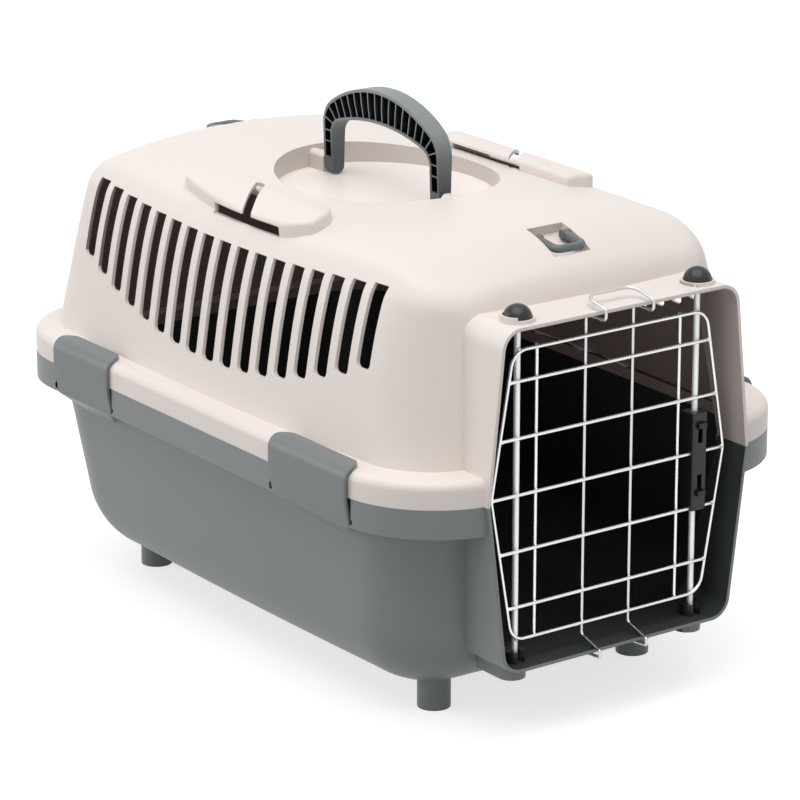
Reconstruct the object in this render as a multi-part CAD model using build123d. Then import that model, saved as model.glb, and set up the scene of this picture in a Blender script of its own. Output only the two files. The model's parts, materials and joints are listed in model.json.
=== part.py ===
from build123d import *
import math
import os

# Pet carrier with a wire door, modelled in millimetres.
# X runs across the carrier, Y from the door (minus) to the rear (plus), Z up.
# The origin is on the ground, under the middle of the carrier.

# Body walls and the line where the cover meets the tub
wall = 2.5
parting_z = 160.0
rim_half_width = 160.0
rim_shelf = 13.5
rim_front_y = -234.0
rim_rear_y = 243.3
rim_front_corner = 70.0
rim_rear_corner = 65.0
rim_height = 17.0
rim_edge_radius = 6.0
skirt_height = 19.0
lip_height = 5.0
lip_gap = 0.4
lip_wall = 2.0

# Top cover
cover_foot_z = 174.0
cover_front_y = -215.0
cover_rear_y = 238.0
cover_side_lean = 0.19
cover_front_lean = 0.134
cover_rear_lean = 0.125
cover_side_bow = 8.5
cover_end_bow = 8.0
cover_front_corner = 50.0
cover_rear_corner = 52.0
roof_z = 304.5
roof_crown_radius = 500.0
roof_edge_radius = 25.0
roof_end_radius = 90.0
roof_front_bend_y = -140.0
roof_rear_bend_y = 165.0

# Base tub
tub_front_y = -215.0
tub_rear_y = 229.0
tub_side_lean = 0.10
tub_end_lean = 0.14
tub_side_bow = 4.0
tub_end_bow = 6.0
tub_corner = 48.0
tub_corner_growth = 0.1
tub_bottom_radius = 55.0
foot_height = 17.8
foot_root = 3.7
foot_radius = 10.8
foot_half_spacing = 80.8
front_foot_y = -152.4
rear_foot_y = 174.0

# Doorway tunnel
tunnel_wall = 2.2
mouth_y = -236.7
mouth_half_width = 103.2
mouth_top_z = 269.5
mouth_top_half_width = 91.5
mouth_bottom_z = 48.0
mouth_bottom_half_width = 89.3
mouth_corner_radius = 14.0
tunnel_depth = 80.0

# Vent slots
slot_half_count = 8
slot_pitch = 19.8
slot_width = 12.7
slot_row_y = 10.5
slot_row_half_length = 159.0
slot_top_z = 275.5
slot_top_rise = 7.0
slot_bottom_z = 198.5
slot_bottom_rise = 33.0
slot_corner_radius = 4.0

# Clips that hold the cover down
clip_gap = 0.3
clip_wall = 2.5
clip_front_length = 83.4
clip_front_y = -129.8
clip_rear_length = 67.8
clip_rear_y = 135.6
clip_root_z = 145.0
clip_slit = 1.5
clip_relief_radius = 2.2
clip_proud = 2.8
clip_reach_in = 12.5
clip_corner_radius = 12.0
apron_drop = 14.0
apron_wall = 3.0

# Carrying handle
handle_y = 11.0
handle_top_z = 357.0
handle_half_length = 64.5
handle_arch_radius = 100.0
handle_shoulder_radius = 20.0
handle_leg = 10.0
grip_low_z = 335.0
grip_low_radius = 160.0
grip_corner_radius = 11.0
handle_wall = 2.0
handle_foot_thickness = 9.0
handle_shoulder_thickness = 11.5
handle_grip_thickness = 13.5
handle_shoulder_z = 333.0
handle_grip_z = 345.0
pivot_z = 295.0
foot_solid_height = 7.0
rib_count = 22
rib_thickness = 1.0
pivot_radius = 2.5
pivot_clearance = 0.08
pivot_reach = 8.0
pivot_block_width = 9.0
pivot_block_top_z = 302.0
pivot_block_gap = 1.6
pivot_block_round = 3.5
recess_half_width = 69.0
recess_half_length = 83.0
recess_floor_z = 289.5

# Strap bails at the front and rear of the roof
pocket_half_width = 14.0
pocket_length = 31.0
pocket_depth = 8.0
pocket_tilt = 20.8
pocket_offset = 32.0
bail_wire = 5.2
bail_clearance = 0.6
bail_pivot_radius = 1.6
bail_pivot_clearance = 0.08
bail_pivot_reach = 1.6
bail_pivot_inset = 8.8
bail_pivot_depth = 3.8
bail_length = 19.3
bail_lift = 13.5

# Belt guides over the roof shoulders
guide_inner_x = 84.0
guide_outer_x = 119.0
guide_start_y = -60.0
guide_end_y = 90.0
guide_crown_radius = 60.0
guide_crown_x = 90.0
guide_crown_z = 304.5
guide_edge_radius = 3.0
guide_corner_radius = 9.0
guide_turn_y = 8.0
guide_window_start_y = -36.9
guide_window_end_y = 38.6
guide_window_low_z = 287.3
guide_window_high_z = 294.3
guide_inner_window = 4.0
guide_slit = 7.0
guide_slit_x = 104.3
guide_slit_y = 12.3
guide_slit_turn = 43.0
guide_slit_length = 50.0
guide_slit_low_z = 289.5

# Door wires
rod_x = 70.5
rod_diameter = 4.0
grid_y = -225.1
frame_wire = 2.2
upright_wire = 2.3
bar_middle_z = 159.0
bar_pitch = 36.4
bar_reach = 2
frame_half_width = 91.9
frame_top_z = 251.4
frame_bottom_z = 64.6
frame_side_lean = 0.1747
frame_corner_radius = 12.0
bar_end_inset = 1.36
outer_upright_x = 56.2
hook_x = 18.6

# Wire hooks over and under the doorway edge
hook_low_z = 264.6
hook_high_z = 272.0
hook_tip_y = -242.2
hook_end_y = -222.0
hook_end_z = 276.0
hook_bend = 3.2
hook_loop_radius = 8.0
hook_under_z = 46.3
hook_under_end_z = 45.2
hook_under_end_y = -228.0
hook_under_start_z = 56.0
hook_under_tip_z = 50.2

# Caps and cups that carry the upright rods
cap_radius = 9.25
cap_centre_z = 270.6
stem_radius = 5.6
stem_gap = 0.05
stem_bottom_z = 263.8
rod_clearance = 0.06
collar_radius = 11.0
collar_height = 2.2
collar_step = 1.9
collar_step_turn = -36.0
collar_nub_radius = 1.5
cup_radius = 7.0
cup_height = 7.3
cup_slot = 4.9
boss_radius = 9.0
boss_bottom_z = 39.0
boss_y = -219.0
hinge_rod_bottom_z = 43.0
hinge_rod_top_z = 268.8

# Latch
latch_half_width = 5.8
latch_front_y = -228.5
latch_back_y = -216.5
latch_bottom_z = 121.5
latch_top_z = 185.8
latch_wall = 2.0
latch_floor = 4.8
web_bottom_z = 153.0
web_top_z = 161.5
latch_travel = 10.0
slider_clearance = 0.2
slider_length = 6.0
upper_slider_z = 178.0
lower_slider_z = 133.2
neck_width = 3.2
neck_height = 3.4
head_width = 6.6
head_depth = 2.8
head_height = 3.4
head_edge_radius = 0.8
upper_rod_top_z = 266.6
lower_rod_bottom_z = 51.5
spring_wire = 0.6
spring_radius = 3.0
spring_turns = 5

# Derived values
rod_radius = rod_diameter / 2
bar_radius = frame_wire / 2
upright_radius = upright_wire / 2
upright_y = grid_y + bar_radius + upright_radius
rod_y = grid_y + bar_radius + rod_radius
flange_bottom_z = mouth_top_z - tunnel_wall
sill_z = mouth_bottom_z + tunnel_wall
clip_places = [(clip_front_y, clip_front_length), (clip_rear_y, clip_rear_length)]
clip_tip_x = rim_half_width - clip_reach_in
cover_half_width = rim_half_width - rim_shelf
tub_half_width = rim_half_width - rim_shelf


# Shared outlines

def plan_outline(half_width, front_y, rear_y, side_bow, end_bow, front_corner, rear_corner, z):
    # A rectangle whose four sides bow outward, with rounded corners.
    corner_x = half_width - side_bow
    front = front_y + end_bow
    rear = rear_y - end_bow
    middle = (front_y + rear_y) / 2
    if side_bow > 0:
        left = ThreePointArc((-corner_x, rear), (-half_width, middle), (-corner_x, front))
        right = ThreePointArc((corner_x, front), (half_width, middle), (corner_x, rear))
    else:
        left = Line((-corner_x, rear), (-corner_x, front))
        right = Line((corner_x, front), (corner_x, rear))
    if end_bow > 0:
        near = ThreePointArc((-corner_x, front), (0, front_y), (corner_x, front))
        far = ThreePointArc((corner_x, rear), (0, rear_y), (-corner_x, rear))
    else:
        near = Line((-corner_x, front), (corner_x, front))
        far = Line((corner_x, rear), (-corner_x, rear))
    face = make_face([left, near, right, far]).face()
    front_vertices = [v for v in face.vertices() if v.Y < middle]
    face = face.fillet_2d(front_corner, front_vertices)
    rear_vertices = [v for v in face.vertices() if v.Y > middle and abs(v.Y - rear) < 0.01]
    face = face.fillet_2d(rear_corner, rear_vertices)
    return Pos(0, 0, z) * face


def cover_outline(z, inset):
    rise = z - cover_foot_z
    return plan_outline(
        cover_half_width - cover_side_lean * rise - inset,
        cover_front_y + cover_front_lean * rise + inset,
        cover_rear_y - cover_rear_lean * rise - inset,
        cover_side_bow,
        cover_end_bow,
        cover_front_corner - inset,
        cover_rear_corner - inset,
        z,
    )


def tub_outline(z, inset):
    drop = parting_z - z
    return plan_outline(
        tub_half_width - tub_side_lean * drop - inset,
        tub_front_y + tub_end_lean * drop + inset,
        tub_rear_y - tub_end_lean * drop - inset,
        tub_side_bow,
        tub_end_bow,
        tub_corner + tub_corner_growth * drop - inset,
        tub_corner + tub_corner_growth * drop - inset,
        z,
    )


def rim_outline(inset, z):
    return plan_outline(
        rim_half_width - inset,
        rim_front_y + inset,
        rim_rear_y - inset,
        0,
        0,
        rim_front_corner - inset,
        rim_rear_corner - inset,
        z,
    )


def mouth_outline(inset):
    # The six-sided doorway outline, drawn in the plane of its front edge.
    points = [
        (-mouth_half_width + inset, parting_z),
        (-mouth_bottom_half_width + inset * 0.9, mouth_bottom_z + inset),
        (mouth_bottom_half_width - inset * 0.9, mouth_bottom_z + inset),
        (mouth_half_width - inset, parting_z),
        (mouth_top_half_width - inset * 0.9, mouth_top_z - inset),
        (-mouth_top_half_width + inset * 0.9, mouth_top_z - inset),
    ]
    face = make_face(Polyline(*points, close=True)).face()
    corners = [v for v in face.vertices() if abs(v.Y - parting_z) > 1]
    face = face.fillet_2d(mouth_corner_radius - inset, corners)
    return Pos(0, mouth_y, 0) * (Plane.XZ * face)


def tunnel_block(inset, lead):
    block = extrude(mouth_outline(inset), amount=tunnel_depth + lead, dir=(0, 1, 0))
    return Pos(0, -lead, 0) * block


def above(z):
    return Pos(0, 0, z + 200) * Box(800, 900, 400)


def below(z):
    return Pos(0, 0, z - 200) * Box(800, 900, 400)


# Top cover

def roof_body(inset):
    # A block whose top is crowned across the carrier and bends down at both ends.
    top = roof_z - inset
    axis_z = roof_z - roof_end_radius
    half = rim_half_width + 10
    drop = half ** 2 / (2 * roof_crown_radius)
    section = make_face([
        ThreePointArc((-half, top - drop), (0, top), (half, top - drop)),
        Line((half, top - drop), (half, axis_z)),
        Line((half, axis_z), (-half, axis_z)),
        Line((-half, axis_z), (-half, top - drop)),
    ]).face()
    length = roof_rear_bend_y - roof_front_bend_y
    section = Pos(0, roof_front_bend_y, 0) * (Plane.XZ * section)
    middle = extrude(section, amount=length, dir=(0, 1, 0))
    front = revolve(section, Axis((0, roof_front_bend_y, axis_z), (1, 0, 0)), 90)
    rear = revolve(Pos(0, length, 0) * section, Axis((0, roof_rear_bend_y, axis_z), (1, 0, 0)), -90)
    base = Pos(0, 0, axis_z - 50) * Box(2 * half, 600, 100)
    return middle + front + rear + base


def corner_angle(edge, shape):
    faces = [f for f in shape.faces() if any(edge.is_same(e) for e in f.edges())]
    point = edge.position_at(0.5)
    return faces[0].normal_at(point).get_angle(faces[1].normal_at(point))


def cover_dome(inset):
    # Leaning bowed walls, with the roof's edge rounded all the way round.
    dome = loft([cover_outline(parting_z - 10, inset), cover_outline(roof_z + 12, inset)], ruled=True)
    dome = dome & roof_body(inset)
    edges = [e for e in dome.edges() if e.bounding_box().min.Z > roof_z - 65]
    edges = [e for e in edges if corner_angle(e, dome) > 10]
    return fillet(edges, roof_edge_radius - inset)


def slot_row():
    slots = []
    for k in range(-slot_half_count, slot_half_count + 1):
        y = slot_row_y + k * slot_pitch
        reach = ((y - slot_row_y) / slot_row_half_length) ** 2
        top = slot_top_z + slot_top_rise * reach
        low = slot_bottom_z + slot_bottom_rise * reach
        face = Rectangle(slot_width, top - low).face()
        face = face.fillet_2d(slot_corner_radius, [v for v in face.vertices() if v.Y < 0])
        face = Pos(0, y, (top + low) / 2) * (Plane.YZ * face)
        slots.append(extrude(face, amount=170, both=True))
    return slots


def guide_plan(inset):
    low = guide_start_y + inset
    high = guide_end_y - inset
    inner = -guide_inner_x - inset
    outer = -guide_outer_x + inset
    nose = outer + 10
    face = make_face([
        Line((inner, high), (inner, low + 14)),
        ThreePointArc((inner, low + 14), (inner - 12, low + 2.5), (nose, low)),
        ThreePointArc((nose, low), (outer + 3.2, low + 11), (outer, low + 30)),
        ThreePointArc((outer, low + 30), (outer + 0.8, 30), (outer + 11, high)),
        Line((outer + 11, high), (inner, high)),
    ]).face()
    corners = [v for v in face.vertices() if v.Y > high - 1 and v.X < inner - 1]
    return face.fillet_2d(guide_corner_radius - inset, corners)


def guide_block(inset):
    # A raised bridge with a crowned top, standing on the roof shoulder.
    block = Pos(0, 0, 262) * extrude(guide_plan(inset), amount=60)
    axis = Pos(-guide_crown_x, 0, guide_crown_z - guide_crown_radius) * Rot(90, 0, 0)
    block = block & axis * Cylinder(guide_crown_radius - inset, 400)
    if inset == 0:
        edges = [e for e in block.edges() if e.bounding_box().min.Z > 285]
        block = fillet(edges, guide_edge_radius)
    return block


def guide_cuts():
    length = guide_window_end_y - guide_window_start_y
    middle = (guide_window_end_y + guide_window_start_y) / 2
    outer_height = guide_window_high_z - guide_window_low_z
    outer_z = (guide_window_high_z + guide_window_low_z) / 2
    outer = Pos(-guide_outer_x, middle, outer_z) * Box(16, length, outer_height)
    inner_z = guide_crown_z - wall - guide_inner_window / 2 - 0.4
    inner = Pos(-guide_inner_x, middle, inner_z) * Box(12, length, guide_inner_window)
    slit_height = guide_crown_z + 2 - guide_slit_low_z
    slit = Box(guide_slit_length, guide_slit, slit_height)
    slit = Rot(0, 0, guide_slit_turn) * slit
    slit = Pos(-guide_slit_x, guide_slit_y, guide_slit_low_z + slit_height / 2) * slit
    return [outer, inner, slit]


def turned(shape):
    # The same feature on the other shoulder, turned half round.
    return Pos(0, guide_turn_y * 2, 0) * Rot(0, 0, 180) * shape


def recess_block(inset, low, high):
    face = Ellipse(recess_half_width + inset, recess_half_length + inset).face()
    return Pos(0, handle_y, low) * extrude(face, amount=high - low)


def pivot_blocks():
    parts = []
    gap_y = handle_half_length + pivot_block_gap
    length = recess_half_length - gap_y + 1
    height = pivot_block_top_z - recess_floor_z + 1
    for side in (-1, 1):
        y = handle_y + side * (gap_y + length / 2)
        block = Box(pivot_block_width, length, height)
        block = fillet(block.edges().filter_by(Axis.Y).group_by(Axis.Z)[-1], pivot_block_round)
        parts.append(Pos(0, y, recess_floor_z - 1 + height / 2) * block)
        spigot_length = pivot_reach + pivot_block_gap + 1
        spigot_y = handle_y + side * (handle_half_length - pivot_reach + spigot_length / 2)
        spigot = Rot(90, 0, 0) * Cylinder(pivot_radius, spigot_length)
        parts.append(Pos(0, spigot_y, pivot_z) * spigot)
    return parts


def pocket_place(end):
    # The pocket's frame: on the sloping roof, Y up the slope, Z out of the roof.
    bend_y = roof_front_bend_y if end < 0 else roof_rear_bend_y
    y = bend_y + end * pocket_offset
    z = roof_z - roof_end_radius + math.sqrt(roof_end_radius ** 2 - pocket_offset ** 2)
    turn = 0 if end < 0 else 180
    return Pos(0, y, z) * Rot(0, 0, turn) * Rot(pocket_tilt, 0, 0)


def bail_place(end):
    return pocket_place(end) * Pos(0, pocket_length / 2 - bail_pivot_inset, -bail_pivot_depth)


def pocket_block(end, inset, high):
    width = 2 * (pocket_half_width + inset)
    length = pocket_length + 2 * inset
    height = pocket_depth + inset + high
    block = Pos(0, 0, high - height / 2) * Box(width, length, height)
    return pocket_place(end) * block


def bail_pins(end, radius, reach):
    pins = []
    for side in (-1, 1):
        length = reach + bail_clearance + 1
        x = side * (pocket_half_width + reach - length / 2)
        pins.append(bail_place(end) * Pos(x, 0, 0) * Rot(0, 90, 0) * Cylinder(radius, length))
    return pins


def collars():
    # The hinge side's collar is stepped; the latch side's one has a small nub.
    parts = []
    for side in (-1, 1):
        low = flange_bottom_z + 0.5
        height = mouth_top_z + collar_height - low
        ring = Pos(side * rod_x, rod_y, low + height / 2) * Cylinder(collar_radius, height)
        parts.append(ring)
    step_height = collar_height + collar_step
    step = Cylinder(collar_radius, step_height) & (Pos(-10, 0, 0) * Box(20, 40, 40))
    step = Rot(0, 0, collar_step_turn) * step
    parts.append(Pos(-rod_x, rod_y, mouth_top_z + step_height / 2) * step)
    nub_place = Pos(rod_x, rod_y, 0) * Rot(0, 0, collar_step_turn) * Pos(0, -collar_radius, 0)
    parts.append(nub_place * Pos(0, 0, mouth_top_z + collar_height / 2) * Cylinder(collar_nub_radius, collar_height))
    return parts


def clip_window(x_side, y, length):
    # The space in the skirt that a clip and its two slits stand in.
    width = length + 2 * clip_slit
    height = parting_z + 1 - clip_root_z
    reach = wall + clip_slit + 5
    return Pos(x_side * (rim_half_width - reach / 2 + 5), y, clip_root_z + height / 2) * Box(reach, width, height)


def clip_apron(side, y, length):
    # The sloping web under a clip, from the skirt in to the tub's wall, with an arched lower edge.
    skirt_z = parting_z - skirt_height
    low_z = skirt_z - apron_drop
    inner_x = tub_half_width - tub_side_lean * (parting_z - low_z) - wall - 3
    slope = apron_drop / (rim_half_width - tub_half_width + 2)
    inner_z = skirt_z - slope * (rim_half_width - inner_x)
    profile = make_face(Polyline(
        (rim_half_width, skirt_z),
        (rim_half_width, skirt_z + apron_wall),
        (inner_x, inner_z + apron_wall),
        (inner_x, inner_z),
        close=True,
    )).face()
    web = extrude(Plane.XZ * profile, amount=length / 2, both=True)
    arch = make_face([
        ThreePointArc((-length / 2, skirt_z), (0, low_z), (length / 2, skirt_z)),
        Line((length / 2, skirt_z), (length / 2, skirt_z + 20)),
        Line((length / 2, skirt_z + 20), (-length / 2, skirt_z + 20)),
        Line((-length / 2, skirt_z + 20), (-length / 2, skirt_z)),
    ]).face()
    web = web & extrude(Plane.YZ * arch, amount=rim_half_width + 10)
    if side < 0:
        web = Rot(0, 0, 180) * web
    return Pos(0, y, 0) * web


def make_lip():
    # The ring that stands down inside the tub and keeps the cover in place.
    low = parting_z - lip_height
    outer = extrude(tub_outline(low, wall + lip_gap), amount=lip_height + wall)
    inner = Pos(0, 0, -1) * extrude(tub_outline(low, wall + lip_gap + lip_wall), amount=lip_height + wall + 2)
    shelf = extrude(cover_outline(parting_z, 0.2), amount=wall)
    return (outer + shelf) - inner - tunnel_block(-0.4, 5)


def make_top_cover():
    dome = cover_dome(0)
    inner_dome = cover_dome(wall)
    rim = extrude(rim_outline(0, parting_z), amount=rim_height)
    rim = fillet(rim.faces().sort_by(Axis.Z)[-1].edges(), rim_edge_radius)
    rim_hollow = extrude(rim_outline(wall, parting_z - 5), amount=rim_height + 5 - wall)
    rim_hollow = fillet(rim_hollow.faces().sort_by(Axis.Z)[-1].edges(), rim_edge_radius - wall)
    tunnel = tunnel_block(0, 0)
    throat = tunnel_block(tunnel_wall, 5)
    bore = extrude(cover_outline(parting_z - 20, wall), amount=rim_height + 30)
    outside = dome + tunnel
    channel = rim_hollow - outside
    guides = guide_block(0)
    shell = (outside + rim) & above(parting_z)
    shell = shell - channel
    shell = shell + [guides, turned(guides)]
    shell = shell - inner_dome
    shell = shell - throat
    guide_hollow = guide_block(wall)
    shell = shell - [guide_hollow, turned(guide_hollow)]
    recess_shell = recess_block(wall, recess_floor_z - wall, roof_z) & dome
    shell = shell + recess_shell
    shell = shell - recess_block(0, recess_floor_z, roof_z + 20)
    shell = shell + [pocket_block(end, wall, 10) & dome for end in (-1, 1)]
    shell = shell - [pocket_block(end, 0, 20) for end in (-1, 1)]
    for end in (-1, 1):
        shell = shell - bail_pins(end, bail_pivot_radius + bail_pivot_clearance, bail_pivot_reach + 0.3)
    shell = shell + pivot_blocks()
    shell = shell + collars()
    shell = shell - slot_row()
    shell = shell - guide_cuts()
    shell = shell - [turned(cut) for cut in guide_cuts()]
    for side in (-1, 1):
        shell = shell - Pos(side * rod_x, rod_y, mouth_top_z + 10) * Cylinder(cap_radius + 0.15, 20)
        shell = shell - Pos(side * rod_x, rod_y, mouth_top_z) * Cylinder(stem_radius + stem_gap, 30)
    shell = shell + make_lip()
    return shell


# Base tub

def make_base_tub():
    outer = loft([tub_outline(foot_height, 0), tub_outline(parting_z, 0)], ruled=True)
    outer = fillet(outer.faces().sort_by(Axis.Z)[0].edges(), tub_bottom_radius)
    inner = loft([tub_outline(foot_height + wall, wall), tub_outline(parting_z + 10, wall)], ruled=True)
    inner = fillet(inner.faces().sort_by(Axis.Z)[0].edges(), tub_bottom_radius - wall)
    tunnel = tunnel_block(0, 0)
    rim = extrude(rim_outline(0, parting_z - skirt_height), amount=skirt_height)
    hollow = extrude(rim_outline(wall, parting_z - skirt_height - 5), amount=skirt_height + 5 - wall)
    outside = outer + tunnel
    shell = (outside + rim) & below(parting_z)
    shell = shell - (hollow - outside)
    shell = shell - inner
    shell = shell - tunnel_block(tunnel_wall, 5)
    for side in (-1, 1):
        boss = Pos(side * rod_x, boss_y, (boss_bottom_z + mouth_bottom_z + 1) / 2)
        boss_height = mouth_bottom_z + 1 - boss_bottom_z
        back = Pos(side * rod_x, boss_y + 12, (boss_bottom_z + mouth_bottom_z + 1) / 2)
        solid = boss * Cylinder(boss_radius, boss_height) + back * Box(2 * boss_radius, 24, boss_height)
        shell = shell + (solid - inner)
    hole = Pos(-rod_x, rod_y, boss_bottom_z + 10) * Cylinder(rod_radius + rod_clearance, 40)
    shell = shell - hole
    for side in (-1, 1):
        for y in (front_foot_y, rear_foot_y):
            height = foot_height + foot_root
            foot = Pos(side * foot_half_spacing, y, height / 2) * Cylinder(foot_radius, height)
            core = Pos(side * foot_half_spacing, y, foot_height / 2 - 1) * Cylinder(foot_radius - wall, foot_height)
            shell = shell + (foot - inner) - core
    for side in (-1, 1):
        for y, length in clip_places:
            shell = shell + (clip_apron(side, y, length) - inner)
            shell = shell - clip_window(side, y, length)
            for end in (-1, 1):
                place = Pos(side * rim_half_width, y + end * (length / 2 + clip_slit / 2), clip_root_z)
                shell = shell - place * Rot(0, 90, 0) * Cylinder(clip_relief_radius, 12)
    return shell


# Clips

def make_clip(side, y, length):
    # A thin tongue that rises from the skirt, passes outside the rim and turns in over its top.
    top = parting_z + rim_height + clip_gap + clip_wall
    outer_x = rim_half_width + clip_proud
    knee_z = parting_z - 1.5
    outline = make_face(Polyline(
        (rim_half_width - clip_wall, clip_root_z + clip_gap),
        (rim_half_width, clip_root_z + clip_gap),
        (outer_x, knee_z),
        (outer_x, top),
        (clip_tip_x, top),
        (clip_tip_x, top - clip_wall),
        (outer_x - clip_wall, top - clip_wall),
        (outer_x - clip_wall, knee_z),
        close=True,
    )).face()
    bend = rim_edge_radius + clip_wall + clip_gap
    outline = outline.fillet_2d(bend, [v for v in outline.vertices() if v.X > outer_x - 0.1 and v.Y > top - 0.1])
    inner_corner = [v for v in outline.vertices() if abs(v.X - outer_x + clip_wall) < 0.1 and v.Y > parting_z + 5]
    outline = outline.fillet_2d(bend - clip_wall, inner_corner)
    tongue = extrude(Plane.XZ * outline, amount=length / 2, both=True)
    plan = Pos(clip_tip_x + 20, 0, clip_root_z - 15) * Rectangle(40, length).face()
    corners = [v for v in plan.vertices() if v.X < clip_tip_x + 1]
    plan = plan.fillet_2d(clip_corner_radius, corners)
    tongue = tongue & extrude(plan, amount=80)
    if side < 0:
        tongue = Rot(0, 0, 180) * tongue
    return Pos(0, y, 0) * tongue


# Handle

def handle_outline(half_length, top, arch_radius, corner_radius):
    # Upright legs under a shallow arch, seen from the side of the carrier.
    shoulder = top - arch_radius + math.sqrt(arch_radius ** 2 - half_length ** 2)
    face = make_face([
        Line((-half_length, pivot_z), (half_length, pivot_z)),
        Line((half_length, pivot_z), (half_length, shoulder)),
        ThreePointArc((half_length, shoulder), (0, top), (-half_length, shoulder)),
        Line((-half_length, shoulder), (-half_length, pivot_z)),
    ]).face()
    return face.fillet_2d(corner_radius, [v for v in face.vertices() if v.Y > pivot_z + 5])


def handle_taper(back_wall):
    # Seen from the end, the handle is thin at its feet and widens to the grip.
    foot = handle_foot_thickness / 2
    shoulder = handle_shoulder_thickness / 2
    grip = handle_grip_thickness / 2
    high = handle_top_z + 5
    face = make_face(Polyline(
        (foot - back_wall, pivot_z),
        (shoulder - back_wall, handle_shoulder_z),
        (grip - back_wall, handle_grip_z),
        (grip - back_wall, high),
        (-grip, high),
        (-grip, handle_grip_z),
        (-shoulder, handle_shoulder_z),
        (-foot, pivot_z),
        close=True,
    )).face()
    return extrude(Plane.XZ * face, amount=handle_half_length + 5, both=True)


def make_handle():
    # An arch with a channel section: the side toward minus X is open and crossed by ribs.
    inner_half = handle_half_length - handle_leg
    reach = handle_grip_thickness
    outer = handle_outline(handle_half_length, handle_top_z, handle_arch_radius, handle_shoulder_radius)
    inner = handle_outline(inner_half, grip_low_z, grip_low_radius, grip_corner_radius)
    band = extrude(Plane.YZ * outer, amount=reach, both=True)
    band = band - extrude(Plane.YZ * inner, amount=reach, both=True)
    band = band & handle_taper(0)
    outer_cut = handle_outline(
        handle_half_length - handle_wall,
        handle_top_z - handle_wall,
        handle_arch_radius - handle_wall,
        handle_shoulder_radius - handle_wall,
    )
    inner_cut = handle_outline(
        inner_half + handle_wall,
        grip_low_z + handle_wall,
        grip_low_radius + handle_wall,
        grip_corner_radius + handle_wall,
    )
    channel = extrude(Plane.YZ * outer_cut, amount=reach, both=True)
    channel = channel - extrude(Plane.YZ * inner_cut, amount=reach, both=True)
    channel = channel & (handle_taper(handle_wall) + Pos(-2, 0, 0) * handle_taper(handle_wall))
    channel = channel & above(pivot_z + foot_solid_height)
    path = handle_outline(
        handle_half_length - handle_leg / 2,
        (handle_top_z + grip_low_z) / 2,
        (handle_arch_radius + grip_low_radius) / 2,
        (handle_shoulder_radius + grip_corner_radius) / 2,
    )
    line = Plane.YZ * Wire([e for e in path.edges() if e.center().Y > pivot_z + 1])
    for k in range(rib_count):
        u = 0.09 + 0.82 * k / (rib_count - 1)
        plane = Plane(origin=line @ u, z_dir=line % u)
        channel = channel - plane * Box(60, 60, rib_thickness)
    band = band - channel
    for side in (-1, 1):
        y = side * (handle_half_length - handle_leg / 2)
        band = band + Pos(0, y, pivot_z) * Rot(90, 0, 0) * Cylinder(handle_foot_thickness / 2, handle_leg)
    bore_length = pivot_reach + 0.5
    for side in (-1, 1):
        y = side * (handle_half_length - bore_length / 2 + 0.5)
        bore = Pos(0, y, pivot_z) * Rot(90, 0, 0) * Cylinder(pivot_radius + pivot_clearance, bore_length + 1)
        band = band - bore
    return Pos(0, handle_y, 0) * band


# Bails

def make_bail(end):
    # A strap loop lying in its pocket, with a pin at the end of each arm.
    place = bail_place(end) * Rot(-bail_lift, 0, 0)
    arm_x = pocket_half_width - bail_clearance - bail_wire / 2
    path = FilletPolyline(
        (-arm_x, 0, 0),
        (-arm_x, -bail_length, 0),
        (arm_x, -bail_length, 0),
        (arm_x, 0, 0),
        radius=4.5,
    )
    loop = sweep(Plane(origin=path @ 0, z_dir=path % 0) * Circle(bail_wire / 2), path=path)
    for side in (-1, 1):
        loop = loop + Pos(side * arm_x, 0, 0) * Rot(0, 90, 0) * Cylinder(bail_wire / 2 + 0.4, bail_wire + 0.5)
    bail = place * loop
    return bail + bail_pins(end, bail_pivot_radius, bail_pivot_reach)


# Caps and cups

def make_cap(side):
    dome = Sphere(cap_radius) & (Pos(0, 0, 10) * Box(40, 40, 20))
    dome = Pos(0, 0, cap_centre_z) * dome
    skirt_low = mouth_top_z + 0.02
    dome = dome + Pos(0, 0, (skirt_low + cap_centre_z) / 2) * Cylinder(cap_radius, cap_centre_z - skirt_low)
    stem = Pos(0, 0, (stem_bottom_z + cap_centre_z) / 2) * Cylinder(stem_radius, cap_centre_z - stem_bottom_z)
    cap = dome + stem
    bore_top = hinge_rod_top_z + 0.6
    bore_height = bore_top - stem_bottom_z + 1
    cap = cap - Pos(0, 0, bore_top - bore_height / 2) * Cylinder(rod_radius + rod_clearance, bore_height)
    if side > 0:
        slot_height = flange_bottom_z + 0.4 - stem_bottom_z + 1
        slot = Box(cup_slot, 12, slot_height)
        cap = cap - Pos(0, -6, stem_bottom_z - 1 + slot_height / 2) * slot
    return Pos(side * rod_x, rod_y, 0) * cap


def make_cup(side):
    cup = Pos(0, 0, sill_z + cup_height / 2) * Cylinder(cup_radius, cup_height)
    cup = cup - Pos(0, 0, sill_z + cup_height / 2) * Cylinder(rod_radius + rod_clearance, cup_height + 2)
    cup = cup - Pos(0, -6, sill_z + cup_height / 2) * Box(cup_slot, 12, cup_height + 2)
    return Pos(side * rod_x, rod_y, 0) * cup


# Door

def upright_rod(x, y, radius, low, high):
    return Pos(x, y, (low + high) / 2) * Cylinder(radius, high - low)


def side_x(z):
    return frame_half_width - frame_side_lean * abs(z - bar_middle_z)


def make_door_frame():
    points = [
        (-frame_half_width, grid_y, bar_middle_z),
        (-side_x(frame_bottom_z), grid_y, frame_bottom_z),
        (side_x(frame_bottom_z), grid_y, frame_bottom_z),
        (frame_half_width, grid_y, bar_middle_z),
        (side_x(frame_top_z), grid_y, frame_top_z),
        (-side_x(frame_top_z), grid_y, frame_top_z),
    ]
    path = FilletPolyline(*points, radius=frame_corner_radius, close=True)
    return sweep(Plane(origin=path @ 0, z_dir=path % 0) * Circle(bar_radius), path=path)


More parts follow.
